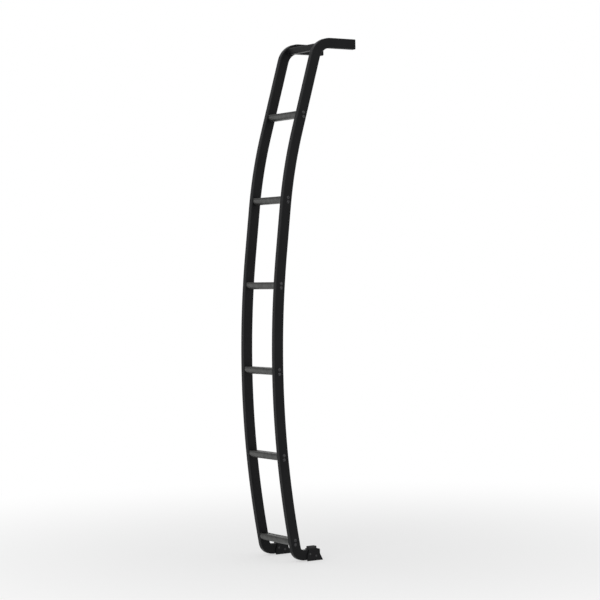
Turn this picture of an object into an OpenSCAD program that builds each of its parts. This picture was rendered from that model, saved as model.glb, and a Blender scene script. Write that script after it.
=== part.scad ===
// Side ladder that hangs from its top arms: two rolled rectangular rails joined by six rungs.
// X runs along the rungs, Y points inboard, from the climber to the side that the ladder hangs on, Z is up.
// The origin is the centre of the top crossbar's inboard face. All lengths are in millimetres.

/* [Rail tube] */
// Depth of the rail tube, from the climber's side to the inboard side
tube_depth = 40; // [36:1:50]
// Width of the rail tube, along the rungs
tube_width = 25; // [20:1:32]
// Wall of the rail tube
tube_wall = 2; // [1.5:0.1:3]
// Outside corner radius of the rail tube
tube_corner = 4; // [3.2:0.1:6]

/* [Rail shape from the top down] */
// Distance between the centre lines of the two rails
rail_spacing = 230; // [200:1:400]
// Straight tube of the top arm, from the top bend to its open end
top_arm_run = 116; // [100:1:200]
// Centre line radius of the top bend
top_bend_r = 73; // [65:1:110]
// Lean of the upper rail to the inboard side, from vertical
top_lean = 16.4; // [10:0.1:18]
// Straight tube below the top bend
upper_run = 310; // [250:5:400]
// Rolling radius of the rail at the shoulder
shoulder_r = 1800; // [1400:10:2400]
// Turn of the rail at the shoulder
shoulder_turn = 9.6; // [8:0.1:12]
// Straight tube below the shoulder
middle_run = 180; // [100:5:300]
// Rolling radius of the rail below the shoulder
side_r = 3800; // [3500:50:5000]
// Turn of the rail below the shoulder
side_turn = 17; // [13:0.1:18]
// Straight tube above the bottom bend
lower_run = 35; // [30:1:120]
// Centre line radius of the bottom bend
bottom_bend_r = 34; // [30:1:60]
// Straight tube of the bottom arm, from the bottom bend to its open end
bottom_arm_run = 72; // [60:1:110]

/* [Top crossbar] */
// Side of the square crossbar
bar_size = 25; // [18:1:27]
// Wall of the crossbar
bar_wall = 2; // [1.5:0.1:3]
// Outside corner radius of the crossbar
bar_corner = 3.5; // [3.2:0.1:5]
// Place of the crossbar round the top bend, above horizontal
bar_angle = 56; // [40:1:70]

/* [Rungs] */
// Depth of a rung from front to back
rung_depth = 36; // [28:1:38]
// Height of a rung
rung_height = 28; // [26:0.5:32]
// Wall of the rung extrusion
rung_wall = 2; // [1.6:0.1:2.5]
// Thickness of the tread plate on top of a rung
tread_wall = 3.2; // [2.8:0.1:4]
// Distance between the treads
rung_pitch = 334; // [280:1:340]
// Height of the lowest tread above the middle of the bottom arms
low_rung_rise = 68; // [64:1:120]
// Number of grip grooves in a tread
groove_count = 7; // [5:1:8]
// Width of a grip groove
groove_width = 2; // [1.5:0.1:2.4]
// Depth of a grip groove
groove_depth = 1.1; // [0.6:0.1:1.4]
// Distance between grip grooves
groove_pitch = 4.2; // [4:0.1:4.4]
// Width of the groove along each side of a rung
side_groove_width = 3; // [2:0.5:4]
// Depth of the groove along each side of a rung
side_groove_depth = 0.8; // [0.4:0.1:1]
// Distance from the tread down to the middle of the side groove
side_groove_drop = 6; // [5:0.5:7]

/* [Rung screws] */
// Inside diameter of a screw port in the rung
port_bore = 4.2; // [3.5:0.1:4.6]
// Wall of a screw port
port_wall = 1.9; // [1.5:0.1:2.2]

/* [End caps] */
// Thickness of the cap's flange outside the tube
cap_flange = 3; // [2:0.5:5]
// Length of the cap's plug inside the tube
cap_plug = 14; // [10:1:16]
// Gap between the plug and the tube wall
cap_gap = 0.3; // [0.2:0.05:0.5]
// Wall of the cap's hollow plug
cap_wall = 2; // [1.5:0.1:3]

/* [Top arm holes] */
// Diameter of the bolt holes in the top arms
rack_hole = 9; // [6.5:0.5:11]
// Distance from the arm's end to its nearest bolt hole
rack_hole_inset = 26; // [24:1:30]
// Distance between the two bolt holes of an arm
rack_hole_spacing = 60; // [40:1:65]

/* [Foot brackets] */
// Plate thickness of the bracket
plate = 4; // [3:0.5:5]
// Inside radius of the bracket's two folds
fold_r = 1.5; // [1:0.1:3.5]
// Length of the bracket's top plate
saddle_len = 36; // [30:1:50]
// Length of the bracket's cheeks along their lower edge
cheek_len = 72; // [68:1:80]
// How far the cheeks reach below the bottom arm
cheek_drop = 4; // [2:0.5:16]
// How far the cheeks reach past the arm's end cap
cheek_reach = 10; // [8:1:16]
// Distance from the cap's face to the middle of the top plate
saddle_inset = 33; // [28:1:36]
// Thickness of the rubber pad on the top plate
pad_thick = 8; // [5:0.5:12]
// Corner radius of the rubber pad
pad_corner = 3; // [1:0.5:8]
// Diameter of the bolt hole through pad, plate and arm
sill_hole = 11; // [8.5:0.5:12]

/* [Hidden] */
$fn = 64;

black = [0.09, 0.09, 0.10];
worn_grey = [0.36, 0.36, 0.35];
rubber = [0.05, 0.05, 0.05];
side_x = rail_spacing / 2;
rung_len = rail_spacing - tube_width;
rung_count = 6;
eps = 0.5;
// Steps round a corner of the tube section, and the largest gap between a bend and its chords
corner_steps = 3;
chord_gap = 0.08;

// Each stretch of the rail is [straight length, bend radius, turn], from the top arm's end downwards.
bottom_turn = 90 + top_lean - shoulder_turn - side_turn;
stretches = [
    [top_arm_run, 0, 0],
    [0, top_bend_r, 90 - top_lean],
    [upper_run, 0, 0],
    [0, shoulder_r, shoulder_turn],
    [middle_run, 0, 0],
    [0, side_r, side_turn],
    [lower_run, 0, 0],
    [0, bottom_bend_r, bottom_turn],
    [bottom_arm_run, 0, 0]
];
last_stretch = len(stretches) - 1;

// The crossbar's middle lies on the centre line of the top bend.
bend_y = -bar_size / 2 + top_bend_r * cos(bar_angle);
bend_z = -top_bend_r * sin(bar_angle);
arm_tip_y = bend_y + top_arm_run;
arm_z = bend_z + top_bend_r;

// Centre of a bend that starts at state [y, z, heading] and turns left with radius r
function bend_centre(s, r) = [s[0] - r * sin(s[2]), s[1] + r * cos(s[2])];
// Point on a bend with centre c and radius r where the heading is h
function on_bend(c, r, h) = [c[0] + r * sin(h), c[1] - r * cos(h)];
// State [y, z, heading] of the centre line where stretch i starts
function start_of(i) = i == 0 ? [arm_tip_y, arm_z, 180] : end_of(i - 1);
// State of the centre line where stretch i ends
function end_of(i) =
    let (s = start_of(i), run = stretches[i][0], r = stretches[i][1], h = s[2] + stretches[i][2])
    let (p = r == 0 ? [s[0] + run * cos(h), s[1] + run * sin(h)] : on_bend(bend_centre(s, r), r, h))
    [p[0], p[1], h];
// Depth position of the centre line at height z on stretch i
function y_on(i, z) =
    let (s = start_of(i), e = end_of(i), r = stretches[i][1], c = bend_centre(s, r))
    r == 0 ? s[0] + (e[0] - s[0]) * (z - s[1]) / (e[1] - s[1])
           : on_bend(c, r, 360 - acos((c[1] - z) / r))[0];
// Depth position of the rail's centre line at height z, between the two arms
function rail_y(z) =
    let (at = [for (i = [0:last_stretch]) if (z < start_of(i)[1] && z >= end_of(i)[1]) i])
    y_on(at[0], z);

// Heights of the two screw ports below the tread, each sunk into the wall that carries it
port_ys = [
    -tread_wall - port_bore / 2 - port_wall / 2,
    -rung_height + rung_wall + port_bore / 2 + port_wall / 2
];

bottom_arm_z = end_of(last_stretch)[1];
bottom_tip_y = end_of(last_stretch)[0];
saddle_y = bottom_tip_y + cap_flange - saddle_inset;

// Tread heights, from the top rung to the lowest one
low_tread_z = bottom_arm_z + low_rung_rise;
function tread_z(n) = low_tread_z + (rung_count - n) * rung_pitch;

// Turns a shape drawn in the rail's plane upright: its x becomes Y, its y becomes Z, its z becomes X.
module upright(x) {
    translate([x, 0, 0]) rotate([90, 0, 90]) children();
}

// Rounded rectangle, centred, with its depth along x
module rounded(depth, width, corner) {
    hull_x = depth / 2 - corner;
    hull_y = width / 2 - corner;
    union() {
        square([depth, 2 * hull_y], center = true);
        square([2 * hull_x, width], center = true);
        for (sx = [-1, 1], sy = [-1, 1]) translate([sx * hull_x, sy * hull_y]) circle(r = corner);
    }
}

// Corner points of the rounded tube section, counted round from its inboard side
function section_points(less) =
    let (a = tube_depth / 2 - tube_corner, b = tube_width / 2 - tube_corner, r = tube_corner - less)
    [for (q = [0:3]) for (k = [0:corner_steps])
        let (t = 90 * (q + k / corner_steps), sa = q == 0 || q == 3 ? 1 : -1, sb = q < 2 ? 1 : -1)
        [sa * a + r * cos(t), sb * b + r * sin(t)]];

// Number of rings that stretch i needs: one for a straight, one per chord for a bend
function rings_of(i) =
    let (r = stretches[i][1])
    r == 0 ? 1 : ceil(stretches[i][2] / (2 * acos(1 - chord_gap / r)));
// State of the centre line on stretch i, at the fraction f of its length
function state_on(i, f) =
    let (s = start_of(i), e = end_of(i), r = stretches[i][1], h = s[2] + f * (e[2] - s[2]))
    let (p = r == 0 ? s + f * (e - s) : on_bend(bend_centre(s, r), r, h))
    [p[0], p[1], h];
stations = concat(
    [for (i = [0:last_stretch]) for (k = [0:rings_of(i) - 1]) state_on(i, k / rings_of(i))],
    [end_of(last_stretch)]
);
// Points of one ring of the tube round a station, with the section's depth across the heading
function ring_at(s, less) =
    [for (q = section_points(less)) [q[1], s[0] - q[0] * sin(s[2]), s[1] + q[0] * cos(s[2])]];

// The hollow rail tube as one closed skin: outer wall, inner wall and the two open ends
module tube_sweep() {
    n = 4 * (corner_steps + 1);
    m = len(stations);
    points = concat([for (s = stations) each ring_at(s, 0)], [for (s = stations) each ring_at(s, tube_wall)]);
    outer = [for (k = [0:m - 2]) for (i = [0:n - 1])
        let (j = (i + 1) % n) [k * n + i, (k + 1) * n + i, (k + 1) * n + j, k * n + j]];
    inner = [for (f = outer) [f[3] + m * n, f[2] + m * n, f[1] + m * n, f[0] + m * n]];
    first = [for (i = [0:n - 1]) let (j = (i + 1) % n) [i, j, j + m * n, i + m * n]];
    last = [for (f = first) [for (q = [3:-1:0]) f[q] + (m - 1) * n]];
    polyhedron(points, concat(outer, inner, first, last), convexity = 8);
}

// One rail tube, hollow and open at both ends, with the bolt holes of its arms
module rail(x) {
    color(black) translate([x, 0, 0]) difference() {
        tube_sweep();
        for (k = [0, 1])
            translate([0, arm_tip_y - rack_hole_inset - k * rack_hole_spacing, arm_z - tube_depth / 2 - eps])
                cylinder(d = rack_hole, h = tube_depth + 2 * eps);
        translate([0, saddle_y, bottom_arm_z - tube_depth / 2 - eps])
            cylinder(d = sill_hole, h = tube_depth + 2 * eps);
    }
}

// Square tube between the rails at the top bend, with the origin on its inboard face
module top_crossbar() {
    color(black) translate([-rung_len / 2, -bar_size / 2, 0]) rotate([90, 0, 90])
        linear_extrude(rung_len) difference() {
            rounded(bar_size, bar_size, bar_corner);
            rounded(bar_size - 2 * bar_wall, bar_size - 2 * bar_wall, bar_corner - bar_wall);
        }
}

// Outline of a rung with its tread at y = 0: straight sides above a half round, less a wall
module rung_outline(less, top) {
    r = rung_depth / 2 - less;
    translate([0, rung_depth / 2 - rung_height]) {
        difference() {
            circle(r = r);
            translate([-rung_depth, 0]) square([2 * rung_depth, rung_depth]);
        }
        translate([-r, 0]) square([2 * r, rung_height - rung_depth / 2 - top]);
    }
}

// Section of the rung extrusion: hollow, with grip grooves, side grooves and two screw ports
module rung_section() {
    port_r = port_bore / 2 + port_wall;
    difference() {
        union() {
            difference() {
                rung_outline(0, 0);
                rung_outline(rung_wall, tread_wall);
            }
            for (py = port_ys) translate([0, py]) circle(r = port_r);
        }
        for (py = port_ys) translate([0, py]) circle(d = port_bore);
        for (g = [0:groove_count - 1])
            translate([(g - (groove_count - 1) / 2) * groove_pitch - groove_width / 2, -groove_depth])
                square([groove_width, groove_depth + eps]);
        for (s = [-1, 1])
            translate([s * (rung_depth / 2 + eps - side_groove_depth / 2), -side_groove_drop])
                square([side_groove_depth + 2 * eps, side_groove_width], center = true);
    }
}

// Extruded rung between the rails' inner faces
module rung(n) {
    color(worn_grey) translate([-rung_len / 2, rail_y(tread_z(n)), tread_z(n)]) rotate([90, 0, 90])
        linear_extrude(rung_len) rung_section();
}

// Plastic cap in the open end of an arm that faces +Y, with its flange on the tube's end
module end_cap(x, y, z) {
    inset = tube_wall + cap_gap;
    color(rubber) translate([x, y, z]) rotate([-90, 0, 0]) rotate([0, 0, 90]) {
        linear_extrude(cap_flange) rounded(tube_depth, tube_width, tube_corner);
        translate([0, 0, -cap_plug]) linear_extrude(cap_plug) difference() {
            rounded(tube_depth - 2 * inset, tube_width - 2 * inset, tube_corner - tube_wall);
            square([tube_depth - 2 * (inset + cap_wall), tube_width - 2 * (inset + cap_wall)], center = true);
        }
    }
}

// Folded steel saddle over the end of a bottom arm, with a slanted inboard edge on its cheeks
module sill_bracket(x) {
    outer_w = tube_width + 2 * plate;
    arm_top = bottom_arm_z + tube_depth / 2;
    low = bottom_arm_z - tube_depth / 2 - cheek_drop;
    low_y = bottom_tip_y + cap_flange + cheek_reach;
    inner_h = 2 * (arm_top - low);
    color(black) difference() {
        intersection() {
            translate([x, low_y, arm_top - inner_h / 2]) rotate([90, 0, 0]) linear_extrude(cheek_len) difference() {
                rounded(outer_w, inner_h + 2 * plate, fold_r + plate);
                rounded(tube_width, inner_h, fold_r);
            }
            upright(x - outer_w / 2) linear_extrude(outer_w) polygon([
                [saddle_y - saddle_len / 2, arm_top + plate],
                [saddle_y + saddle_len / 2, arm_top + plate],
                [low_y, low],
                [low_y - cheek_len, low],
                [low_y - cheek_len, bottom_arm_z]
            ]);
        }
        translate([x, saddle_y, arm_top - eps]) cylinder(d = sill_hole, h = plate + 2 * eps);
    }
}

// Rubber pad on the flat of the saddle's top plate
module sill_pad(x) {
    color(rubber) translate([x, saddle_y, bottom_arm_z + tube_depth / 2 + plate]) difference() {
        linear_extrude(pad_thick) rounded(tube_width - 2 * fold_r, saddle_len, pad_corner);
        translate([0, 0, -eps]) cylinder(d = sill_hole, h = pad_thick + 2 * eps);
    }
}

rail(side_x);  // rear_rail
rail(-side_x);  // front_rail
top_crossbar();
rung(1);  // rung_1
rung(2);  // rung_2
rung(3);  // rung_3
rung(4);  // rung_4
rung(5);  // rung_5
rung(6);  // rung_6
end_cap(side_x, arm_tip_y, arm_z);  // rear_top_cap
end_cap(-side_x, arm_tip_y, arm_z);  // front_top_cap
end_cap(side_x, bottom_tip_y, bottom_arm_z);  // rear_bottom_cap
end_cap(-side_x, bottom_tip_y, bottom_arm_z);  // front_bottom_cap
sill_bracket(side_x);  // rear_sill_bracket
sill_bracket(-side_x);  // front_sill_bracket
sill_pad(side_x);  // rear_sill_pad
sill_pad(-side_x);  // front_sill_pad
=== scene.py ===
import math

import bpy
from mathutils import Matrix, Vector


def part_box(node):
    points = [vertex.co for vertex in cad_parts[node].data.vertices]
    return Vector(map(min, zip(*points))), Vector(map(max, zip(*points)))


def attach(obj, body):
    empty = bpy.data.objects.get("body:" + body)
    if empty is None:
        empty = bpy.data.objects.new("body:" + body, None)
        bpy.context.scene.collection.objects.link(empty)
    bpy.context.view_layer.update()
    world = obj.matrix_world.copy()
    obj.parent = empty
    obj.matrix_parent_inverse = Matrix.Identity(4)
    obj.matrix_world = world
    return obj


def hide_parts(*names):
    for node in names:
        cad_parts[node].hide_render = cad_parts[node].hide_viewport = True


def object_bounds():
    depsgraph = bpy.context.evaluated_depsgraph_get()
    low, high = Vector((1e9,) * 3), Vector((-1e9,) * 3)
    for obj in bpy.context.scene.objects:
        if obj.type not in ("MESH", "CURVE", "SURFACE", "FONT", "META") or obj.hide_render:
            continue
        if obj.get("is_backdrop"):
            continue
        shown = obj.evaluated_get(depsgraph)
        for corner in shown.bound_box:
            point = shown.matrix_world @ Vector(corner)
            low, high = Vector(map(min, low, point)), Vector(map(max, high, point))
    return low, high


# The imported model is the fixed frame, in metres: X along the rungs, Y from the climber to the side that the
# ladder hangs on, Z up. Every piece below takes its place from the boxes of the frame's nodes.
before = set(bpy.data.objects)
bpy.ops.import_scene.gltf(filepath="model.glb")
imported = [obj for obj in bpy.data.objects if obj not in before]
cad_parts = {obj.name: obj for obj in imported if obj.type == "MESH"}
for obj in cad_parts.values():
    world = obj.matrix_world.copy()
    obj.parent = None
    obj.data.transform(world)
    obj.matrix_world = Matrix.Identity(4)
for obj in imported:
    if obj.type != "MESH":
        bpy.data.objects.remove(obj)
cad_low, cad_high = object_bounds()
scene = bpy.context.scene
scene.view_settings.view_transform = "Standard"


# Camera. It stands where the photograph was taken from, a little above the ladder's middle and well round to
# its rear side, with a longer lens that fills the frame with the ladder.
camera_at = Vector((6.355, -4.159, -0.898))
camera_aim = Vector((0, -0.055, -1.0))
camera_roll = math.radians(-1.0)
camera_lens = 114
camera_reach = 200
ahead = (camera_aim - camera_at).normalized()
level = ahead.cross(Vector((0, 0, 1))).normalized()
over = level.cross(ahead)
right = level * math.cos(camera_roll) + over * math.sin(camera_roll)
above = over * math.cos(camera_roll) - level * math.sin(camera_roll)
camera = bpy.data.objects.new("camera", bpy.data.cameras.new("camera"))
camera.data.lens = camera_lens
camera.data.clip_end = camera_reach
camera.matrix_world = Matrix.Translation(camera_at) @ Matrix((right, above, -ahead)).transposed().to_4x4()
scene.collection.objects.link(camera)
scene.camera = camera


# Studio light. An even pale room lights everything from all round, and one large soft lamp over the camera's
# shoulder gives the tubes a lit side. The camera and clear reflections see the room as white.
room_level = 0.62
lamp_size = 3.0
lamp_power = 75
lamp_at = Vector((2.4, -4.6, 1.6))


def node(tree, kind, inputs=None, **settings):
    """Adds a node with its options as settings. An input that is given a socket is linked to it."""
    made = tree.nodes.new(kind)
    for name, value in settings.items():
        setattr(made, name, value)
    for name, value in (inputs or {}).items():
        if isinstance(value, bpy.types.NodeSocket):
            tree.links.new(value, made.inputs[name])
        else:
            made.inputs[name].default_value = value
    return made


def maths(tree, operation, *values):
    """One step of arithmetic on sockets or plain values, as its output socket."""
    return node(tree, "ShaderNodeMath", dict(enumerate(values)), operation=operation).outputs[0]


def seen_plainly(tree):
    """1 for rays from the camera or off a glossy or clear surface, and 0 for light that falls on things."""
    path = node(tree, "ShaderNodeLightPath").outputs
    eye = maths(tree, "MAXIMUM", path["Is Camera Ray"], path["Is Glossy Ray"])
    return maths(tree, "MAXIMUM", eye, path["Is Transmission Ray"])


world = bpy.data.worlds.new("studio")
scene.world = world
world.use_nodes = True
room = world.node_tree
room.nodes.clear()
dim = node(room, "ShaderNodeBackground", {"Color": (1, 1, 1, 1), "Strength": room_level}).outputs[0]
white = node(room, "ShaderNodeBackground", {"Color": (1, 1, 1, 1), "Strength": 1.0}).outputs[0]
either = node(room, "ShaderNodeMixShader", {0: seen_plainly(room), 1: dim, 2: white}).outputs[0]
node(room, "ShaderNodeOutputWorld", {"Surface": either})

lamp = bpy.data.objects.new("soft_lamp", bpy.data.lights.new("soft_lamp", "AREA"))
lamp.data.shape = "DISK"
lamp.data.size = lamp_size
lamp.data.energy = lamp_power
lamp_turn = (lamp_at - camera_aim).to_track_quat("Z", "Y").to_matrix().to_4x4()
lamp.matrix_world = Matrix.Translation(lamp_at) @ lamp_turn
scene.collection.objects.link(lamp)


# Floor. A pale matt floor just under the ladder's lowest edge keeps its shadow, and fades into the white of
# the room with the distance.
floor_half = 40
floor_gap = 0.0005
fade_start = 0.5
fade_end = 3.5
floor_grey = (0.86, 0.86, 0.86, 1)
floor_roughness = 0.9
floor_shine = 0.1


def material_named(name):
    """A new node material, as (material, its node tree, its main shader)."""
    made = bpy.data.materials.new(name)
    made.use_nodes = True
    return made, made.node_tree, made.node_tree.nodes["Principled BSDF"]


def ranged(tree, value, from_min, from_max, to_min=0.0, to_max=1.0, **settings):
    """A value stretched from one range to another and held between its ends, as a socket."""
    ends = {"Value": value, "From Min": from_min, "From Max": from_max, "To Min": to_min, "To Max": to_max}
    return node(tree, "ShaderNodeMapRange", ends, **settings).outputs[0]


floor_paint, tree, paint = material_named("floor_paint")
paint.inputs["Base Color"].default_value = floor_grey
paint.inputs["Roughness"].default_value = floor_roughness
paint.inputs["Specular IOR Level"].default_value = floor_shine
spot = node(tree, "ShaderNodeTexCoord").outputs["Object"]
away = node(tree, "ShaderNodeVectorMath", {0: spot}, operation="LENGTH").outputs["Value"]
fade = ranged(tree, away, fade_start, fade_end, interpolation_type="SMOOTHSTEP")
eye_fade = maths(tree, "MULTIPLY", fade, seen_plainly(tree))
glow = node(tree, "ShaderNodeEmission", {"Color": (1, 1, 1, 1), "Strength": 1.0}).outputs[0]
blend = node(tree, "ShaderNodeMixShader", {0: eye_fade, 1: paint.outputs[0], 2: glow}).outputs[0]
tree.links.new(blend, tree.nodes["Material Output"].inputs["Surface"])

floor_mesh = bpy.data.meshes.new("floor")
floor_z = cad_low.z - floor_gap
corners = [(x * floor_half, y * floor_half, floor_z) for x, y in ((-1, -1), (1, -1), (1, 1), (-1, 1))]
floor_mesh.from_pydata(corners, [], [(0, 1, 2, 3)])
floor_mesh.materials.append(floor_paint)
floor = bpy.data.objects.new("floor", floor_mesh)
scene.collection.objects.link(floor)
floor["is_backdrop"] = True


# Rails. Each is one drawn rectangular tube with rounded corners, bent at the two elbows and rolled to a long
# bow between them, then drilled in its arms and powder coated near black.
tube_depth = 0.040
tube_wall = 0.002
tube_corner = 0.004
corner_cuts = 7
core_overrun = 0.001
arc_step = 0.016
arc_cuts_least = 36
rail_runs = [
    ("straight", 0.116),
    ("bend", 0.073, 73.6),
    ("straight", 0.310),
    ("bend", 1.800, 9.6),
    ("straight", 0.180),
    ("bend", 3.800, 17.0),
    ("straight", 0.035),
    ("bend", 0.034, 79.8),
    ("straight", 0.072),
]
arm_holes = {"first": 0.026, "step": 0.060, "count": 2, "diameter": 0.009}
foot_hole = {"inset": 0.033, "diameter": 0.011}
hole_sides = 40
drill_margin = 0.004
cap_flange = 0.0030
face_weight = 100
rear_low, rear_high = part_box("rear_rail")
rail_x = (rear_low.x + rear_high.x) / 2
tube_width = rear_high.x - rear_low.x
arm_tip_y = rear_high.y
arm_z = rear_high.z - tube_depth / 2
foot_z = rear_low.z + tube_depth / 2
both_sides = (("rear", rail_x), ("front", -rail_x))


def rail_line():
    """Points of the rail's centre line as (y, z), from the top arm's end down to the bottom arm's end."""
    y, z, heading = arm_tip_y, arm_z, math.pi
    line = [(y, z)]
    for run in rail_runs:
        if run[0] == "straight":
            y += run[1] * math.cos(heading)
            z += run[1] * math.sin(heading)
            line.append((y, z))
            continue
        radius, turn = run[1], math.radians(run[2])
        centre_y = y - radius * math.sin(heading)
        centre_z = z + radius * math.cos(heading)
        steps = max(math.ceil(radius * turn / arc_step), arc_cuts_least)
        for k in range(1, steps + 1):
            angle = heading + turn * k / steps
            line.append((centre_y + radius * math.sin(angle), centre_z - radius * math.cos(angle)))
        heading += turn
        y, z = line[-1]
    return line


centre_line = rail_line()
foot_tip_y = centre_line[-1][0]
foot_bolt_y = foot_tip_y + cap_flange - foot_hole["inset"]


def nodes_tree(name, sizes):
    """A Geometry Nodes tree with named inputs, as (tree, its input sockets, its output node)."""
    made = bpy.data.node_groups.new(name, "GeometryNodeTree")
    made.interface.new_socket("Geometry", in_out="INPUT", socket_type="NodeSocketGeometry")
    made.interface.new_socket("Geometry", in_out="OUTPUT", socket_type="NodeSocketGeometry")
    for label, kind in sizes.items():
        made.interface.new_socket(label, in_out="INPUT", socket_type="NodeSocket" + kind)
    made.interface.new_socket("Finish", in_out="INPUT", socket_type="NodeSocketMaterial")
    return made, node(made, "NodeGroupInput").outputs, node(made, "NodeGroupOutput")


def close_tree(tree, given, end, shape, smooth_under=30):
    """Ends a tree: instances made real, smooth shading up to an angle, and the finish set."""
    real = node(tree, "GeometryNodeRealizeInstances", {0: shape}).outputs[0]
    bend = node(tree, "GeometryNodeInputMeshEdgeAngle").outputs["Unsigned Angle"]
    limit = {0: bend, 1: math.radians(smooth_under)}
    soft = node(tree, "FunctionNodeCompare", limit, operation="LESS_EQUAL").outputs[0]
    faces = {"Geometry": real, "Shade Smooth": True}
    faces = node(tree, "GeometryNodeSetShadeSmooth", faces, domain="FACE").outputs[0]
    edges = {"Geometry": faces, "Shade Smooth": soft}
    edges = node(tree, "GeometryNodeSetShadeSmooth", edges, domain="EDGE").outputs[0]
    coated = {"Geometry": edges, "Material": given["Finish"]}
    coated = node(tree, "GeometryNodeSetMaterial", coated).outputs[0]
    tree.links.new(coated, end.inputs[0])


def line_mesh(name, points, closed=False):
    """A mesh of points joined by edges, the line that a tree follows."""
    made = bpy.data.meshes.new(name)
    joins = [(k, k + 1) for k in range(len(points) - 1)]
    if closed:
        joins.append((len(points) - 1, 0))
    made.from_pydata(points, joins, [])
    return made


def grow(name, start, tree, values, even=True):
    """Runs a tree on a start mesh, and gives back its result as a plain mesh object."""
    seed = bpy.data.objects.new(name + "_start", start)
    scene.collection.objects.link(seed)
    modifier = seed.modifiers.new("nodes", "NODES")
    modifier.node_group = tree
    for item in tree.interface.items_tree:
        if item.in_out == "INPUT" and item.name in values:
            modifier[item.identifier] = values[item.name]
    if even:
        flat = seed.modifiers.new("flat_sides", "WEIGHTED_NORMAL")
        flat.keep_sharp = True
        flat.weight = face_weight
    seen = seed.evaluated_get(bpy.context.evaluated_depsgraph_get())
    mesh = bpy.data.meshes.new_from_object(seen)
    mesh.name = name
    bpy.data.objects.remove(seed)
    bpy.data.meshes.remove(start)
    made = bpy.data.objects.new(name, mesh)
    scene.collection.objects.link(made)
    return made


def hand_over(piece, slot, *replaced):
    """Parents a finished piece to the root body and hides the nodes it stands for; the slot is not used."""
    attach(piece, "root")
    if replaced:
        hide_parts(*replaced)


def noise(tree, place, scale, detail):
    """Uneven noise over a place, finer as its scale grows, as a socket."""
    grain = {"Vector": place, "Scale": scale, "Detail": detail}
    return node(tree, "ShaderNodeTexNoise", grain).outputs["Fac"]


def blended(tree, share, first, second):
    """A colour between two, by a share of the second one, as a socket."""
    return node(tree, "ShaderNodeMix", {0: share, 6: first, 7: second}, data_type="RGBA").outputs[2]


def relief(tree, skin, height, strength, depth):
    """Gives a surface a fine relief by its shading."""
    bump = {"Height": height, "Strength": strength, "Distance": depth}
    tree.links.new(node(tree, "ShaderNodeBump", bump).outputs[0], skin.inputs["Normal"])


def powder_coat(name, dark, light, peel):
    """Satin powder coat: a near-black resin skin with fine orange peel, and dust where it faces up."""
    dust_grey = (0.036, 0.035, 0.033, 1)
    dust_share = 0.55
    dust_slope = 0.55
    shine = 0.13
    made, tree, skin = material_named(name)
    place = node(tree, "ShaderNodeTexCoord").outputs["Object"]
    facing = node(tree, "ShaderNodeNewGeometry").outputs["Normal"]
    cloud = noise(tree, place, scale=9.0, detail=5.0)
    speck = noise(tree, place, scale=240.0, detail=3.0)
    base = blended(tree, ranged(tree, cloud, 0.3, 0.7), dark, light)
    upward = node(tree, "ShaderNodeSeparateXYZ", {0: facing}).outputs["Z"]
    film = ranged(tree, upward, dust_slope, 1.0, to_max=dust_share)
    dusty = blended(tree, maths(tree, "MULTIPLY", film, speck), base, dust_grey)
    tree.links.new(dusty, skin.inputs["Base Color"])
    rough = ranged(tree, speck, 0.3, 0.7, to_min=0.40, to_max=0.52)
    tree.links.new(rough, skin.inputs["Roughness"])
    skin.inputs["Specular IOR Level"].default_value = shine
    relief(tree, skin, noise(tree, place, scale=620.0, detail=2.0), strength=peel, depth=0.0004)
    return made


rail_dark = (0.0042, 0.0043, 0.0048, 1)
rail_light = (0.0074, 0.0076, 0.0084, 1)
rail_coat = powder_coat("rail_coat", rail_dark, rail_light, peel=0.25)

sizes = {"Width": "Float", "Depth": "Float", "Wall": "Float", "Corner": "Float", "Axis": "Vector"}
tube_tree, given, end = nodes_tree("Tube along a line", sizes)
curve = node(tube_tree, "GeometryNodeMeshToCurve", {"Mesh": given["Geometry"]}).outputs[0]
held = {"Curve": curve, "Normal": given["Axis"]}
path = node(tube_tree, "GeometryNodeSetCurveNormal", held, mode="FREE").outputs[0]
twice = maths(tube_tree, "MULTIPLY", given["Wall"], 2.0)
skins = []
for inside in (False, True):
    width, depth, corner = given["Width"], given["Depth"], given["Corner"]
    route = path
    if inside:
        width = maths(tube_tree, "SUBTRACT", width, twice)
        depth = maths(tube_tree, "SUBTRACT", depth, twice)
        corner = maths(tube_tree, "SUBTRACT", corner, given["Wall"])
        tangent = node(tube_tree, "GeometryNodeInputTangent").outputs[0]
        for first, scale in ((1, -core_overrun), (0, core_overrun)):
            ends = {"Start Size": first, "End Size": 1 - first}
            tip = node(tube_tree, "GeometryNodeCurveEndpointSelection", ends).outputs[0]
            push = {0: tangent, "Scale": scale}
            push = node(tube_tree, "ShaderNodeVectorMath", push, operation="SCALE").outputs[0]
            longer = {"Geometry": route, "Selection": tip, "Offset": push}
            route = node(tube_tree, "GeometryNodeSetPosition", longer).outputs[0]
    box = {"Width": width, "Height": depth}
    box = node(tube_tree, "GeometryNodeCurvePrimitiveQuadrilateral", box).outputs[0]
    round_off = {"Curve": box, "Count": corner_cuts, "Radius": corner}
    profile = node(tube_tree, "GeometryNodeFilletCurve", round_off, mode="POLY").outputs[0]
    sweep = {"Curve": route, "Profile Curve": profile, "Fill Caps": True}
    skins.append(node(tube_tree, "GeometryNodeCurveToMesh", sweep).outputs[0])
hollow = {"Mesh 1": skins[0], "Mesh 2": skins[1]}
hollow = node(tube_tree, "GeometryNodeMeshBoolean", hollow, solver="MANIFOLD").outputs["Mesh"]
close_tree(tube_tree, given, end, hollow)

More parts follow.
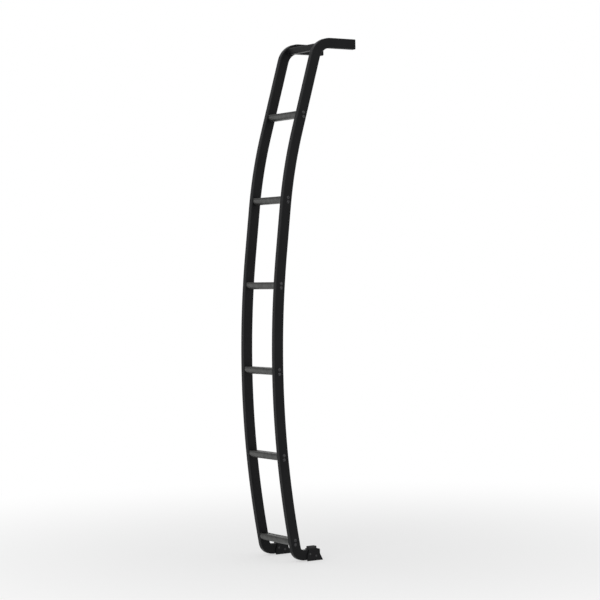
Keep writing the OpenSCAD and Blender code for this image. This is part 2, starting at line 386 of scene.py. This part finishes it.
drill_tree, given, end = nodes_tree("Drilled holes", {"Holes": "Object"})
holes = node(drill_tree, "GeometryNodeObjectInfo", {"Object": given["Holes"]}).outputs["Geometry"]
bore = node(drill_tree, "GeometryNodeInputNamedAttribute", {"Name": "bore"}, data_type="FLOAT").outputs[0]
stretch = node(drill_tree, "ShaderNodeCombineXYZ", {0: bore, 1: bore, 2: 1.0}).outputs[0]
bit = {"Vertices": hole_sides, "Radius": 0.5, "Depth": tube_depth + drill_margin}
cutter = node(drill_tree, "GeometryNodeMeshCylinder", bit).outputs[0]
placed = {"Points": holes, "Instance": cutter, "Scale": stretch}
bits = node(drill_tree, "GeometryNodeInstanceOnPoints", placed).outputs[0]
bits = node(drill_tree, "GeometryNodeRealizeInstances", {0: bits}).outputs[0]
drilled = {"Mesh 1": given["Geometry"], "Mesh 2": bits}
drilled = node(drill_tree, "GeometryNodeMeshBoolean", drilled, solver="MANIFOLD").outputs["Mesh"]
close_tree(drill_tree, given, end, drilled)


def hole_points(name, places):
    """An object with a point for each hole, as (place, diameter)."""
    made = bpy.data.meshes.new(name)
    made.from_pydata([place for place, _ in places], [], [])
    bores = made.attributes.new("bore", "FLOAT", "POINT")
    for k, (_, diameter) in enumerate(places):
        bores.data[k].value = diameter
    points = bpy.data.objects.new(name, made)
    scene.collection.objects.link(points)
    return points


for side, x in both_sides:
    spine = line_mesh(side + "_spine", [(x, y, z) for y, z in centre_line])
    sizes = {"Width": tube_width, "Depth": tube_depth, "Wall": tube_wall, "Corner": tube_corner}
    sizes.update({"Axis": (1, 0, 0), "Finish": rail_coat})
    tube = grow(side + "_tube", spine, tube_tree, sizes, even=False)
    bores = []
    for k in range(arm_holes["count"]):
        bolt_y = arm_tip_y - arm_holes["first"] - k * arm_holes["step"]
        bores.append(((x, bolt_y, arm_z), arm_holes["diameter"]))
    bores.append(((x, foot_bolt_y, foot_z), foot_hole["diameter"]))
    marks = hole_points(side + "_holes", bores)
    rail = grow(side + "_rail_tube", tube.data, drill_tree, {"Holes": marks, "Finish": rail_coat})
    bpy.data.objects.remove(marks)
    hand_over(rail, "rail_coat", side + "_rail")


# Crossbar. A square tube between the two top bends, cut square and welded all round to the rails' inner
# sides, and coated with them. The weld beads keep the small ripples of the torch.
bar_corner = 0.0035
bar_wall = 0.002
bead_radius = 0.0030
bead_step = 0.0030
bead_ripple = 0.16
bead_sunk = 0.25
bead_points = 16
bead_step_rings = 4
bar_low, bar_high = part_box("top_crossbar")
bar_size = bar_high.z - bar_low.z
bar_middle = (bar_low + bar_high) / 2

bar_ends = [(x, bar_middle.y, bar_middle.z) for x in (bar_low.x, bar_high.x)]
bar_line = line_mesh("bar_line", bar_ends)
sizes = {"Width": bar_size, "Depth": bar_size, "Wall": bar_wall, "Corner": bar_corner}
sizes.update({"Axis": (0, 0, 1), "Finish": rail_coat})
crossbar = grow("crossbar_tube", bar_line, tube_tree, sizes)
hand_over(crossbar, "rail_coat", "top_crossbar")

bead_tree, given, end = nodes_tree("Weld bead", {"Radius": "Float", "Step": "Float", "Ripple": "Float"})
curve = node(bead_tree, "GeometryNodeMeshToCurve", {"Mesh": given["Geometry"]}).outputs[0]
steps = {"Curve": curve, "Length": maths(bead_tree, "DIVIDE", given["Step"], bead_step_rings)}
route = node(bead_tree, "GeometryNodeResampleCurve", steps, mode="LENGTH").outputs[0]
along = node(bead_tree, "GeometryNodeSplineParameter").outputs["Length"]
turns = maths(bead_tree, "DIVIDE", along, given["Step"])
wave = maths(bead_tree, "SINE", maths(bead_tree, "MULTIPLY", turns, 2 * math.pi))
swell = maths(bead_tree, "MULTIPLY_ADD", wave, given["Ripple"], 1.0)
ring = {"Resolution": bead_points, "Radius": given["Radius"]}
ring = node(bead_tree, "GeometryNodeCurvePrimitiveCircle", ring).outputs[0]
sweep = {"Curve": route, "Profile Curve": ring, "Scale": swell}
bead = node(bead_tree, "GeometryNodeCurveToMesh", sweep).outputs[0]
close_tree(bead_tree, given, end, bead, smooth_under=60)


def rounded_loop(width, depth, corner, cuts=6):
    """Points round a rectangle with rounded corners, centred, counter-clockwise."""
    loop = []
    for turn, (sx, sy) in enumerate(((1, 1), (-1, 1), (-1, -1), (1, -1))):
        for k in range(cuts + 1):
            angle = math.pi / 2 * (turn + k / cuts)
            x = sx * (width / 2 - corner) + corner * math.cos(angle)
            y = sy * (depth / 2 - corner) + corner * math.sin(angle)
            loop.append((x, y))
    return loop


for side, x, into in (("rear", bar_high.x, -1), ("front", bar_low.x, 1)):
    sunk = x + into * bead_radius * bead_sunk
    outline = rounded_loop(bar_size, bar_size, bar_corner)
    seam = [(sunk, bar_middle.y + y, bar_middle.z + z) for y, z in outline]
    seam = line_mesh(side + "_seam", seam, closed=True)
    sizes = {"Radius": bead_radius, "Step": bead_step, "Ripple": bead_ripple, "Finish": rail_coat}
    hand_over(grow(side + "_crossbar_weld", seam, bead_tree, sizes, even=False), "rail_coat")


# Rungs. Each is one aluminium extrusion with a flat ribbed tread over a half-round belly and a groove along
# each side, sawn to length and left with a dull anodised skin that shoes have rubbed on the ribs.
rib_count = 7
rib_gap_width = 0.0020
rib_gap_depth = 0.0011
rib_pitch = 0.0042
rib_round = 0.0003
tread_round = 0.0012
side_gap_width = 0.0030
side_gap_depth = 0.0008
side_gap_drop = 0.0060
belly_cuts = 28
rung_names = sorted(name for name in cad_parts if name.startswith("rung_"))
rung_low, rung_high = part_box(rung_names[0])
rung_length = rung_high.x - rung_low.x
rung_depth = rung_high.y - rung_low.y
rung_height = rung_high.z - rung_low.z


def fillet(loop, corner, radius, start, cuts=3):
    """Adds a rounded corner to a loop of points: a quarter of a small circle, from the angle start."""
    for k in range(cuts + 1):
        angle = start + math.copysign(math.pi / 2, radius) * k / cuts
        loop.append((corner[0] + abs(radius) * math.cos(angle), corner[1] + abs(radius) * math.sin(angle)))


def rung_outline():
    """The rung's section as (depth, height) from the middle of its tread, once round it."""
    half = rung_depth / 2
    straight = rung_height - half
    side = []
    for k in range(rib_count):
        middle = (k - (rib_count - 1) / 2) * rib_pitch
        near, far = middle - rib_gap_width / 2, middle + rib_gap_width / 2
        fillet(side, (near - rib_round, -rib_round), -rib_round, math.pi / 2)
        fillet(side, (near + rib_round, rib_round - rib_gap_depth), rib_round, math.pi)
        fillet(side, (far - rib_round, rib_round - rib_gap_depth), rib_round, -math.pi / 2)
        fillet(side, (far + rib_round, -rib_round), -rib_round, math.pi)
    fillet(side, (half - tread_round, -tread_round), -tread_round, math.pi / 2)
    top, low = side_gap_width / 2 - side_gap_drop, -side_gap_width / 2 - side_gap_drop
    floor_y = half - side_gap_depth
    groove = [(half, top), (floor_y, top - side_gap_depth), (floor_y, low + side_gap_depth), (half, low)]
    side += groove
    for k in range(belly_cuts + 1):
        angle = math.pi * k / belly_cuts
        side.append((half * math.cos(angle), -straight - half * math.sin(angle)))
    side += [(-y, z) for y, z in reversed(groove)]
    fillet(side, (tread_round - half, -tread_round), -tread_round, math.pi)
    return side


def rung_finish(name, dull, bright, dark_gaps_and_shade):
    """Dull aluminium with die lines along the bar, smoother on the ribs and darker in the rib gaps, with
    painted shade along the top of its sides and a painted lighter belly.
    """
    line_scales = (5.0, 900.0, 900.0)
    belly_painted_light = 1.45
    gap_dark_share = 0.8
    lip_painted_shade = 0.55
    crest_drop = 0.00025
    crest_top = 0.00005
    crest_rubbed = 0.08
    made, tree, skin = material_named(name)
    place = node(tree, "ShaderNodeAttribute", attribute_name="rung_place").outputs["Vector"]
    drawn = node(tree, "ShaderNodeMapping", {"Vector": place, "Scale": line_scales}).outputs[0]
    lines = noise(tree, drawn, scale=1.0, detail=3.0)
    spot = node(tree, "ShaderNodeTexCoord").outputs["Object"]
    mottle = noise(tree, spot, scale=55.0, detail=5.0)
    tone = ranged(tree, maths(tree, "ADD", lines, mottle), 0.7, 1.3)
    parts = node(tree, "ShaderNodeSeparateXYZ", {0: place}).outputs
    height = parts["Z"]
    reach = maths(tree, "ABSOLUTE", parts["Y"])

    # Painted light: the lower half of the rung is made lighter towards the bottom of its belly, up to 1.45
    # times its tone.
    painted_belly_lift = ranged(tree, height, -rung_height, -rung_height / 2, to_min=belly_painted_light)
    base = {0: blended(tree, tone, dull, bright), "Scale": painted_belly_lift}
    base = node(tree, "ShaderNodeVectorMath", base, operation="SCALE").outputs[0]

    # The rib gaps are darker towards their floors.
    deep = ranged(tree, height, -rib_gap_depth / 3, -rib_gap_depth, to_max=gap_dark_share)
    ribbed = maths(tree, "LESS_THAN", reach, rib_count * rib_pitch / 2)
    above = maths(tree, "GREATER_THAN", height, -rib_gap_depth * 1.3)
    gap_dark = maths(tree, "MULTIPLY", maths(tree, "MULTIPLY", deep, ribbed), above)

    # Painted shade: the upper band of the rung's sides, under the tread's edge, is darkened towards the dark
    # grey.
    low, high = -side_gap_drop * 1.5, -side_gap_drop * 0.8
    lip_shade = ranged(tree, height, low, high, to_max=lip_painted_shade, interpolation_type="SMOOTHSTEP")
    outer = maths(tree, "GREATER_THAN", reach, rung_depth / 2 - tread_round)
    gaps_and_lip_shade = maths(tree, "MAXIMUM", gap_dark, maths(tree, "MULTIPLY", lip_shade, outer))
    tree.links.new(blended(tree, gaps_and_lip_shade, base, dark_gaps_and_shade), skin.inputs["Base Color"])

    rough = ranged(tree, tone, 0.0, 1.0, to_min=0.52, to_max=0.40)
    crest = ranged(tree, height, -crest_drop, -crest_top, to_max=-crest_rubbed)
    tree.links.new(maths(tree, "ADD", crest, rough), skin.inputs["Roughness"])
    skin.inputs["Metallic"].default_value = 0.85
    relief(tree, skin, lines, strength=0.25, depth=0.0002)
    return made


dull_grey = (0.066, 0.067, 0.065, 1)
bright_grey = (0.115, 0.116, 0.113, 1)
# A dark grey for the rib gaps and for the painted shade under the tread's edge.
dark_gaps_and_shade_grey = (0.026, 0.026, 0.025, 1)
rung_metal = rung_finish("rung_metal", dull_grey, bright_grey, dark_gaps_and_shade_grey)

sizes = {"Length": "Float", "Section": "Object", "Tread": "Vector"}
rung_tree, given, end = nodes_tree("Rung extrusion", sizes)
half_length = maths(rung_tree, "MULTIPLY", given["Length"], 0.5)
rear_end = node(rung_tree, "ShaderNodeCombineXYZ", {0: half_length}).outputs[0]
front_end = {0: rear_end, "Scale": -1.0}
front_end = node(rung_tree, "ShaderNodeVectorMath", front_end, operation="SCALE").outputs[0]
bar = node(rung_tree, "GeometryNodeCurvePrimitiveLine", {"Start": front_end, "End": rear_end}).outputs[0]
held = {"Curve": bar, "Normal": (0, 1, 0)}
bar = node(rung_tree, "GeometryNodeSetCurveNormal", held, mode="FREE").outputs[0]
section = node(rung_tree, "GeometryNodeObjectInfo", {"Object": given["Section"]}).outputs["Geometry"]
section = node(rung_tree, "GeometryNodeMeshToCurve", {"Mesh": section}).outputs[0]
sweep = {"Curve": bar, "Profile Curve": section, "Fill Caps": True}
swept = node(rung_tree, "GeometryNodeCurveToMesh", sweep).outputs[0]
spot = node(rung_tree, "GeometryNodeInputPosition").outputs[0]
noted = {"Geometry": swept, "Name": "rung_place", "Value": spot}
noted = node(rung_tree, "GeometryNodeStoreNamedAttribute", noted, data_type="FLOAT_VECTOR").outputs[0]
moved = {"Geometry": noted, "Translation": given["Tread"]}
moved = node(rung_tree, "GeometryNodeTransform", moved).outputs[0]
close_tree(rung_tree, given, end, moved, smooth_under=35)

outline = [(y, z, 0) for y, z in reversed(rung_outline())]
outline = bpy.data.objects.new("rung_section", line_mesh("rung_section", outline, closed=True))
scene.collection.objects.link(outline)
for name in rung_names:
    low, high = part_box(name)
    sizes = {"Length": rung_length, "Section": outline, "Tread": (0, (low.y + high.y) / 2, high.z)}
    sizes["Finish"] = rung_metal
    rung = grow(name + "_extrusion", line_mesh(name + "_seed", [(0, 0, 0)]), rung_tree, sizes)
    hand_over(rung, "rung_aluminium", name)
bpy.data.objects.remove(outline)


# Rung screws. Two screws with washers go through each rail into the ports of every rung, with black plated
# pan heads and hexagon sockets, turned as the spanner left them.
screw_sides = 24
washer_radius = 0.0064
washer_height = 0.0010
washer_edge = 0.0003
head_radius = 0.0048
head_height = 0.0040
head_flare = 0.0001
head_profile = ((1.0, 0.0020), (0.94, 0.0029), (0.82, 0.0036), (0.64, head_height))
socket_radius = 0.0024
socket_floor = 0.0018
port_drops = (0.00625, 0.02295)
screw_seed = 7


def circle_loop(radius, count):
    """Points round a circle, counter-clockwise."""
    angles = [2 * math.pi * k / count for k in range(count)]
    return [(radius * math.cos(angle), radius * math.sin(angle)) for angle in angles]


def hexagon_loop(radius, count):
    """Points along a hexagon whose corners lie on a circle, as many as a round loop has."""
    each = count // 6
    corners = circle_loop(radius, 6)
    loop = []
    for k in range(6):
        here, there = Vector(corners[k]), Vector(corners[(k + 1) % 6])
        loop += [tuple(here.lerp(there, step / each)) for step in range(each)]
    return loop


def loft(name, rings, turn=Matrix.Identity(4)):
    """A closed mesh through rings of (loop, height), capped at both ends, then turned into place."""
    points = [(x, y, height) for loop, height in rings for x, y in loop]
    count = len(rings[0][0])
    faces = [tuple(reversed(range(count)))]
    for ring in range(len(rings) - 1):
        for k in range(count):
            a, b = ring * count + k, ring * count + (k + 1) % count
            faces.append((a, b, b + count, a + count))
    faces.append(tuple(range((len(rings) - 1) * count, len(rings) * count)))
    made = bpy.data.meshes.new(name)
    made.from_pydata(points, [], faces)
    made.transform(turn)
    return made


def black_plate(name, black, bright):
    """Black plated steel, worn a little brighter in small spots."""
    made, tree, skin = material_named(name)
    place = node(tree, "ShaderNodeTexCoord").outputs["Object"]
    wear = noise(tree, place, scale=420.0, detail=4.0)
    worn = blended(tree, ranged(tree, wear, 0.52, 0.75), black, bright)
    tree.links.new(worn, skin.inputs["Base Color"])
    rough = ranged(tree, wear, 0.0, 1.0, to_min=0.26, to_max=0.44)
    tree.links.new(rough, skin.inputs["Roughness"])
    skin.inputs["Metallic"].default_value = 0.9
    return made


screw_black = (0.060, 0.060, 0.063, 1)
screw_worn = (0.17, 0.17, 0.17, 1)
screw_plate = black_plate("screw_plate", screw_black, screw_worn)
head_rings = [
    (circle_loop(washer_radius, screw_sides), 0.0),
    (circle_loop(washer_radius, screw_sides), washer_height - washer_edge),
    (circle_loop(washer_radius - washer_edge, screw_sides), washer_height),
    (circle_loop(head_radius + head_flare, screw_sides), washer_height),
]
head_rings += [(circle_loop(head_radius * share, screw_sides), height) for share, height in head_profile]
head_rings += [(hexagon_loop(socket_radius, screw_sides), height) for height in (head_height, socket_floor)]
screw_model = bpy.data.objects.new("screw_model", loft("screw_model", head_rings))
scene.collection.objects.link(screw_model)

screw_tree, given, end = nodes_tree("Screws on points", {"Screw": "Object", "Seed": "Int"})
outward = {"Name": "outward"}
outward = node(screw_tree, "GeometryNodeInputNamedAttribute", outward, data_type="FLOAT_VECTOR").outputs[0]
aligned = node(screw_tree, "FunctionNodeAlignRotationToVector", {"Vector": outward}, axis="Z").outputs[0]
spin = {2: 0.0, 3: 2 * math.pi, "Seed": given["Seed"]}
spin = node(screw_tree, "FunctionNodeRandomValue", spin, data_type="FLOAT").outputs[1]
twist = {"Axis": (0, 0, 1), "Angle": spin}
twist = node(screw_tree, "FunctionNodeAxisAngleToRotation", twist).outputs[0]
turned = {"Rotation": aligned, "Rotate By": twist}
turned = node(screw_tree, "FunctionNodeRotateRotation", turned, rotation_space="LOCAL").outputs[0]
model = node(screw_tree, "GeometryNodeObjectInfo", {"Object": given["Screw"]}).outputs["Geometry"]
screws = {"Points": given["Geometry"], "Instance": model, "Rotation": turned}
screws = node(screw_tree, "GeometryNodeInstanceOnPoints", screws).outputs[0]
close_tree(screw_tree, given, end, screws)


def screw_points(name, places):
    """A mesh with a point for each screw, as (place, outward direction)."""
    made = bpy.data.meshes.new(name)
    made.from_pydata([place for place, _ in places], [], [])
    facing = made.attributes.new("outward", "FLOAT_VECTOR", "POINT")
    for k, (_, direction) in enumerate(places):
        facing.data[k].vector = direction
    return made


for side, sign in (("rear", 1), ("front", -1)):
    outside = sign * (rail_x + tube_width / 2)
    places = []
    for name in rung_names:
        low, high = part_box(name)
        for drop in port_drops:
            places.append(((outside, (low.y + high.y) / 2, high.z - drop), (sign, 0, 0)))
    sizes = {"Screw": screw_model, "Seed": screw_seed, "Finish": screw_plate}
    screws = grow(side + "_rung_screws", screw_points(side + "_screws", places), screw_tree, sizes)
    hand_over(screws, "bracket_coat")
bpy.data.objects.remove(screw_model)


# End caps. A moulded plastic cap closes each of the four arms: a plug in the tube, and a flange with a
# rounded rim and a slightly domed face that follows the tube's own corners.
cap_plug = 0.0140
cap_gap = 0.0003
cap_edge = 0.0009
cap_dome = 0.0006
dome_shares = (0.65, 0.35, 0.12)
rim_cuts = 4


def moulded_black(name, dark, worn, dullness, grain):
    """Black plastic or rubber with a fine grain and uneven wear."""
    spread = 0.06
    made, tree, skin = material_named(name)
    place = node(tree, "ShaderNodeTexCoord").outputs["Object"]
    cloud = noise(tree, place, scale=90.0, detail=5.0)
    tree.links.new(blended(tree, cloud, dark, worn), skin.inputs["Base Color"])
    rough = ranged(tree, cloud, 0.0, 1.0, to_min=dullness - spread, to_max=dullness + spread)
    tree.links.new(rough, skin.inputs["Roughness"])
    pebble = node(tree, "ShaderNodeTexVoronoi", {"Vector": place, "Scale": grain}).outputs["Distance"]
    relief(tree, skin, pebble, strength=0.2, depth=0.0002)
    return made


def solid_piece(name, mesh, material):
    """An object on a closed mesh, with one material."""
    mesh.materials.append(material)
    made = bpy.data.objects.new(name, mesh)
    scene.collection.objects.link(made)
    return made


def applied(piece):
    """Makes what a piece's modifiers give its own plain mesh, and takes the modifiers away."""
    seen = piece.evaluated_get(bpy.context.evaluated_depsgraph_get())
    mesh = bpy.data.meshes.new_from_object(seen)
    piece.modifiers.clear()
    piece.data = mesh


def soft_shaded(piece, smooth_under=35):
    """Smooth shading up to an angle, with flat faces kept flat."""
    piece.data.shade_smooth()
    piece.data.set_sharp_from_angle(angle=math.radians(smooth_under))
    piece.modifiers.new("even", "WEIGHTED_NORMAL").keep_sharp = True
    applied(piece)


def cap_rings():
    """The cap's rings from the plug's end outwards: plug, flange, rounded rim and domed face."""
    play = tube_wall + cap_gap
    plug = rounded_loop(tube_width - 2 * play, tube_depth - 2 * play, tube_corner - tube_wall)
    rings = [(plug, -cap_plug), (plug, 0.0), (rounded_loop(tube_width, tube_depth, tube_corner), 0.0)]
    rim_start = cap_flange - cap_dome - cap_edge
    for k in range(rim_cuts + 1):
        angle = math.pi / 2 * k / rim_cuts
        inset = cap_edge * (1 - math.cos(angle))
        loop = rounded_loop(tube_width - 2 * inset, tube_depth - 2 * inset, tube_corner - inset)
        rings.append((loop, rim_start + cap_edge * math.sin(angle)))
    for share in dome_shares:
        loop = rounded_loop(tube_width * share, tube_depth * share, tube_corner * share)
        rings.append((loop, cap_flange - cap_dome * share * share))
    return rings


cap_dark = (0.012, 0.012, 0.012, 1)
cap_worn = (0.020, 0.020, 0.020, 1)
cap_moulding = moulded_black("cap_moulding", cap_dark, cap_worn, dullness=0.52, grain=1400.0)
inboard = Matrix.Rotation(-math.pi / 2, 4, "X")
for side, x in both_sides:
    for arm, y, z in (("top", arm_tip_y, arm_z), ("bottom", foot_tip_y, foot_z)):
        name = "%s_%s_cap" % (side, arm)
        shell = loft(name, cap_rings(), Matrix.Translation((x, y, z)) @ inboard)
        cap = solid_piece(name + "_moulding", shell, cap_moulding)
        soft_shaded(cap)
        hand_over(cap, "cap_plastic", name)


# Foot brackets. Each is one steel plate folded down over the bottom arm like a saddle, with the slanted end
# of its cheeks inboard, a bolt hole in its top and two countersunk screws in each cheek.
plate_thick = 0.0040
fold_inner = 0.0015
fold_cuts = 6
cheek_drop = 0.0040
cheek_reach = 0.0100
saddle_length = 0.0360
cheek_length = 0.0720
plate_edge = 0.0005
cheek_screws = ((-0.016, 0.003), (0.012, -0.006))
sink_radius = 0.0042
sink_depth = 0.0020
sunk_overrun = 0.0002
sunk_play = 0.0002
sunk_edge = 0.0001
sunk_tip = 0.0020
sunk_rim = 0.0028
sunk_socket = 0.0019
sunk_socket_depth = 0.0015
cut_margin = 0.0010
saddle_z = foot_z + tube_depth / 2
cheek_z = foot_z - tube_depth / 2 - cheek_drop
cheek_y = foot_tip_y + cap_flange + cheek_reach
plate_half = tube_width / 2 + plate_thick
plate_dark = (0.0060, 0.0061, 0.0067, 1)
plate_light = (0.0100, 0.0102, 0.0112, 1)
bracket_coat = powder_coat("bracket_coat", plate_dark, plate_light, peel=0.35)


def carve(piece, cutters, operation):
    """Cuts a closed piece by other closed meshes, or keeps what it shares with them."""
    for cutter in cutters:
        tool = bpy.data.objects.new("tool", cutter)
        scene.collection.objects.link(tool)
        step = piece.modifiers.new("carve", "BOOLEAN")
        step.solver = "MANIFOLD"
        step.operation = operation
        step.object = tool
        applied(piece)
        bpy.data.objects.remove(tool)


def eased(piece, width, cuts=2, sharp_over=30):
    """Rounds the sharp edges of a piece and gives it even shading."""
    ease = piece.modifiers.new("ease", "BEVEL")
    ease.width = width
    ease.segments = cuts
    ease.limit_method = "ANGLE"
    ease.angle_limit = math.radians(sharp_over)
    applied(piece)
    soft_shaded(piece)


def folded_outline():
    """The plate's section as (across the arm, up), from the middle of the arm's top side."""
    inner, outer = tube_width / 2, fold_inner + plate_thick
    fold = inner - fold_inner
    drop = cheek_z - saddle_z
    loop = [(plate_half, drop)]
    fillet(loop, (fold, -fold_inner), outer, 0, fold_cuts)
    fillet(loop, (-fold, -fold_inner), outer, math.pi / 2, fold_cuts)
    loop += [(-plate_half, drop), (-inner, drop)]
    fillet(loop, (-fold, -fold_inner), -fold_inner, math.pi, fold_cuts)
    fillet(loop, (fold, -fold_inner), -fold_inner, math.pi / 2, fold_cuts)
    loop.append((inner, drop))
    return loop


def cheek_outline():
    """The bracket's side as (depth, height), from the cheeks' outboard lower corner round to their top."""
    back_y = cheek_y - cheek_length
    top_z = saddle_z + plate_thick
    half = saddle_length / 2
    return [(back_y, cheek_z), (cheek_y, cheek_z), (foot_bolt_y + half, top_z), (foot_bolt_y - half, top_z),
            (back_y, foot_z)]


def cheek_face(x, out, spot):
    """The place of a screw on a cheek's outer face, with its local Z pointing out of the face."""
    place = Matrix.Translation((x + out * plate_half, foot_bolt_y + spot[0], foot_z + spot[1]))
    return place @ Matrix.Rotation(out * math.pi / 2, 4, "Y")


def bore_cutter(x, low, high):
    """A round bar through the bolt hole, between two heights above the arm."""
    loop = circle_loop(foot_hole["diameter"] / 2, hole_sides)
    return loft("bore", [(loop, low), (loop, high)], Matrix.Translation((x, foot_bolt_y, saddle_z)))


along_arm = Matrix.Rotation(math.pi / 2, 4, "X")
across_arm = Matrix(((0, 0, 1, 0), (1, 0, 0, 0), (0, 1, 0, 0), (0, 0, 0, 1)))
sink_rings = [(circle_loop(sink_radius - sink_depth, screw_sides), -sink_depth),
              (circle_loop(sink_radius + cut_margin, screw_sides), cut_margin)]
sunk_rings = [
    (circle_loop(sunk_tip, screw_sides), -sink_depth - sunk_overrun),
    (circle_loop(sink_radius - sunk_play, screw_sides), -sunk_play),
    (circle_loop(sink_radius - sunk_play - sunk_edge, screw_sides), 0.0),
    (circle_loop(sunk_rim, screw_sides), sunk_edge),
    (hexagon_loop(sunk_socket, screw_sides), sunk_edge),
    (hexagon_loop(sunk_socket - sunk_edge, screw_sides), -sunk_socket_depth),
]
for side, x in both_sides:
    section = folded_outline()
    ends = [(section, -cheek_y), (section, cheek_length - cheek_y)]
    sheet = loft("sheet", ends, Matrix.Translation((x, 0, saddle_z)) @ along_arm)
    plate = solid_piece(side + "_sill_bracket_plate", sheet, bracket_coat)
    outline = cheek_outline()
    keep = [(outline, -plate_half - cut_margin), (outline, plate_half + cut_margin)]
    carve(plate, [loft("keep", keep, Matrix.Translation((x, 0, 0)) @ across_arm)], "INTERSECT")
    cutters = [bore_cutter(x, -cut_margin, plate_thick + cut_margin)]
    spots = [(out, spot) for spot in cheek_screws for out in (1, -1)]
    cutters += [loft("sink", sink_rings, cheek_face(x, out, spot)) for out, spot in spots]
    carve(plate, cutters, "DIFFERENCE")
    eased(plate, plate_edge)
    hand_over(plate, "bracket_coat", side + "_sill_bracket")
    for number, (out, spot) in enumerate(spots):
        socket_turn = Matrix.Rotation(number + x, 4, "Z")
        turn = cheek_face(x, out, spot) @ socket_turn
        name = "%s_cheek_screw_%d" % (side, number + 1)
        screw = solid_piece(name, loft(name, sunk_rings, turn), screw_plate)
        soft_shaded(screw)
        hand_over(screw, "bracket_coat")


# Foot pads. A black rubber block sits on each saddle, with eased edges, four grooves across its top that
# drain it, and a clear hole for the bolt.
pad_height = 0.0080
pad_width = tube_width - 2 * fold_inner
pad_corner = 0.0030
pad_edge = 0.0004
groove_width = 0.0016
groove_depth = 0.0012
groove_corner = 0.0002
groove_places = (-0.0130, -0.0085, 0.0085, 0.0130)
rubber_dark = (0.014, 0.014, 0.0145, 1)
rubber_worn = (0.026, 0.026, 0.0265, 1)
rubber = moulded_black("pad_rubber", rubber_dark, rubber_worn, dullness=0.74, grain=900.0)

for side, x in both_sides:
    here = Matrix.Translation((x, foot_bolt_y, saddle_z + plate_thick))
    outline = rounded_loop(pad_width, saddle_length, pad_corner)
    block = loft("block", [(outline, 0), (outline, pad_height)], here)
    pad = solid_piece(side + "_sill_pad_block", block, rubber)
    cutters = [bore_cutter(x, plate_thick - cut_margin, plate_thick + pad_height + cut_margin)]
    strip = rounded_loop(2 * pad_width, groove_width, groove_corner, cuts=2)
    strip_ends = [(strip, pad_height - groove_depth), (strip, pad_height + cut_margin)]
    for y in groove_places:
        cutters.append(loft("groove", strip_ends, Matrix.Translation((0, y, 0)) @ here))
    carve(pad, cutters, "DIFFERENCE")
    eased(pad, pad_edge)
    hand_over(pad, "pad_rubber", side + "_sill_pad")

low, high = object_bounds()
